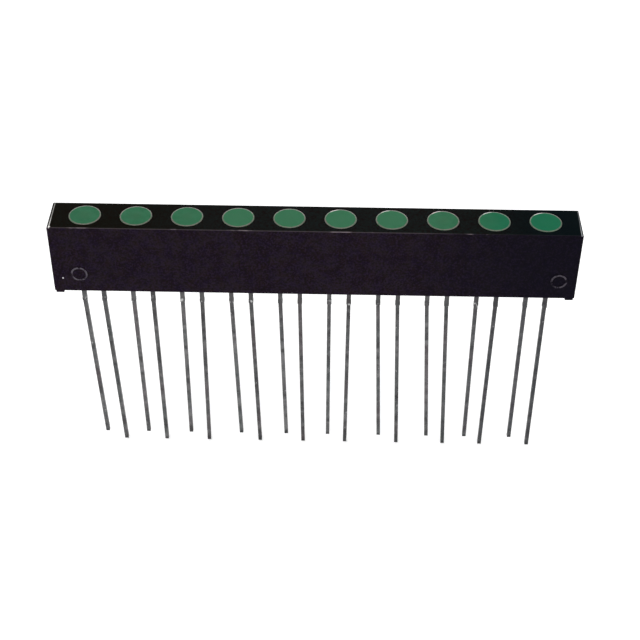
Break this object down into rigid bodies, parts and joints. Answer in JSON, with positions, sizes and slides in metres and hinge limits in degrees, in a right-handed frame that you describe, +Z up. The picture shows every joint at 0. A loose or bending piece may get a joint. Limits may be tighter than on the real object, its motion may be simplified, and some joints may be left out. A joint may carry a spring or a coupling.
{
  "type": "led bar graph",
  "caption": "LED bar graph: a row of flat-topped round green lamps in a black moulded bar with paired through-hole leads.",
  "frame": {"origin": "centre of the lead row in the plane of the stand-off feet, where the board's top face lies", "axes": "+X along the row to the right as seen from the front, -Y towards the front, +Z up out of the lamps' faces"},
  "size_m": [0.066, 0.0055, 0.0385],
  "materials": {
    "housing_black": "fine matt moulding, edges slightly polished",
    "lens_green": "diffused green epoxy, unlit",
    "lead_tinned": "dull tin over steel strip",
    "die_crystal": "sawn semiconductor crystal",
    "wire_gold": "drawn gold wire"
  },
  "bodies": {
    "root": {"housing": "housing_black", "lens_01": "lens_green", "lens_02": "lens_green", "lens_03": "lens_green", "lens_04": "lens_green", "lens_05": "lens_green", "lens_06": "lens_green", "lens_07": "lens_green", "lens_08": "lens_green", "lens_09": "lens_green", "lens_10": "lens_green", "cathode_lead_01": "lead_tinned", "cathode_lead_02": "lead_tinned", "cathode_lead_03": "lead_tinned", "cathode_lead_04": "lead_tinned", "cathode_lead_05": "lead_tinned", "cathode_lead_06": "lead_tinned", "cathode_lead_07": "lead_tinned", "cathode_lead_08": "lead_tinned", "cathode_lead_09": "lead_tinned", "cathode_lead_10": "lead_tinned", "anode_lead_01": "lead_tinned", "anode_lead_02": "lead_tinned", "anode_lead_03": "lead_tinned", "anode_lead_04": "lead_tinned", "anode_lead_05": "lead_tinned", "anode_lead_06": "lead_tinned", "anode_lead_07": "lead_tinned", "anode_lead_08": "lead_tinned", "anode_lead_09": "lead_tinned", "anode_lead_10": "lead_tinned", "die_01": "die_crystal", "die_02": "die_crystal", "die_03": "die_crystal", "die_04": "die_crystal", "die_05": "die_crystal", "die_06": "die_crystal", "die_07": "die_crystal", "die_08": "die_crystal", "die_09": "die_crystal", "die_10": "die_crystal", "bond_wire_01": "wire_gold", "bond_wire_02": "wire_gold", "bond_wire_03": "wire_gold", "bond_wire_04": "wire_gold", "bond_wire_05": "wire_gold", "bond_wire_06": "wire_gold", "bond_wire_07": "wire_gold", "bond_wire_08": "wire_gold", "bond_wire_09": "wire_gold", "bond_wire_10": "wire_gold"}
  },
  "joints": []
}
